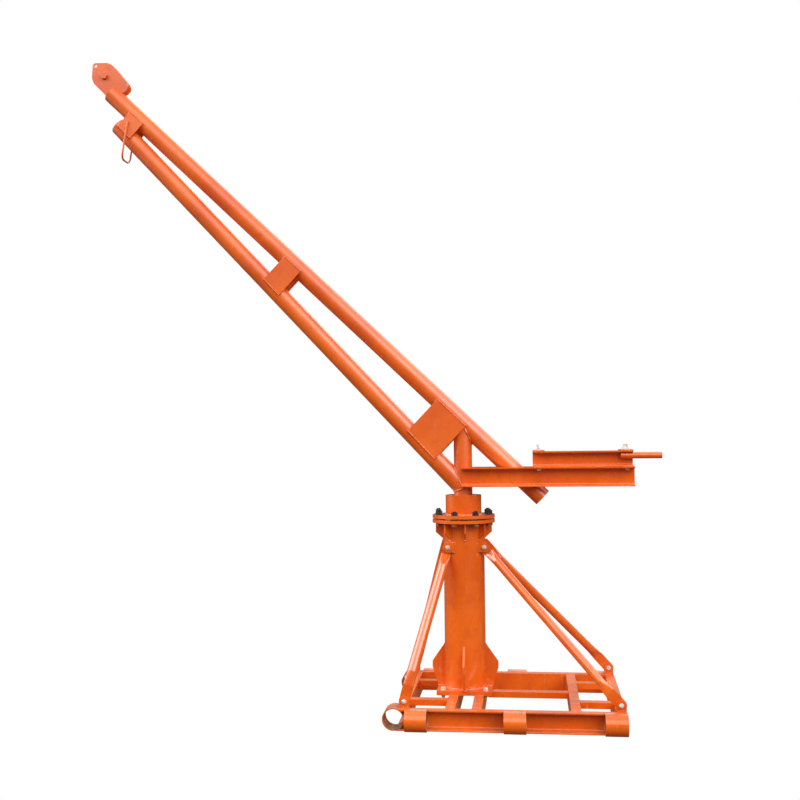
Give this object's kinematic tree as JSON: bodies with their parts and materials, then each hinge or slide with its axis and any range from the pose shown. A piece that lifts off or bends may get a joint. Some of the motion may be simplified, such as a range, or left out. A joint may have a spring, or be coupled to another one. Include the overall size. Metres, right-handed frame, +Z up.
{
  "type": "mini crane",
  "caption": "A small slewing mini crane: orange channel frame, braced pipe mast and a twin-pipe jib with a head sheave and a bench for a winch.",
  "frame": {"origin": "the mast's axis on the floor", "axes": "+X toward the winch end of the jib, +Z up, -Y the front"},
  "size_m": [3.0307, 1.0306, 3.4925],
  "materials": {
    "orange_paint": "glossy enamel with scuffs",
    "bearing_steel": "greased steel",
    "zinc_steel": "zinc plated",
    "sheave_steel": "dark, worn in the groove"
  },
  "bodies": {
    "base": {"front_beam": "orange_paint", "rear_beam": "orange_paint", "left_beam": "orange_paint", "right_beam": "orange_paint", "mast_cross_member_left": "orange_paint", "mast_cross_member_right": "orange_paint", "tail_cross_member": "orange_paint", "left_bay_ties": "orange_paint", "centre_tie": "orange_paint", "right_bay_ties": "orange_paint", "front_sleeves": "orange_paint", "rear_sleeves": "orange_paint", "left_sleeves": "orange_paint", "frame_plate": "orange_paint", "mast_baseplate": "orange_paint", "mast_tube": "orange_paint", "foot_gussets": "orange_paint", "mast_flange": "orange_paint", "flange_fins": "orange_paint", "mast_brace_lugs": "orange_paint", "frame_brace_lugs": "orange_paint", "brace_front_left": "orange_paint", "brace_front_right": "orange_paint", "brace_rear_left": "orange_paint", "brace_rear_right": "orange_paint", "housing_flange": "orange_paint", "bearing_housing": "orange_paint", "slew_bearings": "bearing_steel"},
    "jib": {"post": "orange_paint", "upper_chord": "orange_paint", "lower_chord": "orange_paint", "chord_plates_lower": "orange_paint", "chord_plates_middle": "orange_paint", "chord_plates_tip": "orange_paint", "rope_guide_loop": "orange_paint", "head_cheek_near": "orange_paint", "head_cheek_far": "orange_paint", "head_axle": "orange_paint", "bench_channel_near": "orange_paint", "bench_channel_far": "orange_paint", "tray_channel_near": "orange_paint", "tray_channel_far": "orange_paint", "tray_end_plates": "orange_paint", "handles": "orange_paint", "winch_studs": "zinc_steel"},
    "sheave": {"head_sheave": "sheave_steel"}
  },
  "joints": [
    {"name": "jib_slew", "type": "hinge", "parent": "base", "child": "jib", "pos_m": [0, 0, 1.05], "axis": [0, 0, 1], "continuous": true},
    {"name": "head_sheave_spin", "type": "hinge", "parent": "jib", "child": "sheave", "pos_m": [-1.94671, 0, 3.41854], "axis": [0, 1, 0], "continuous": true}
  ]
}
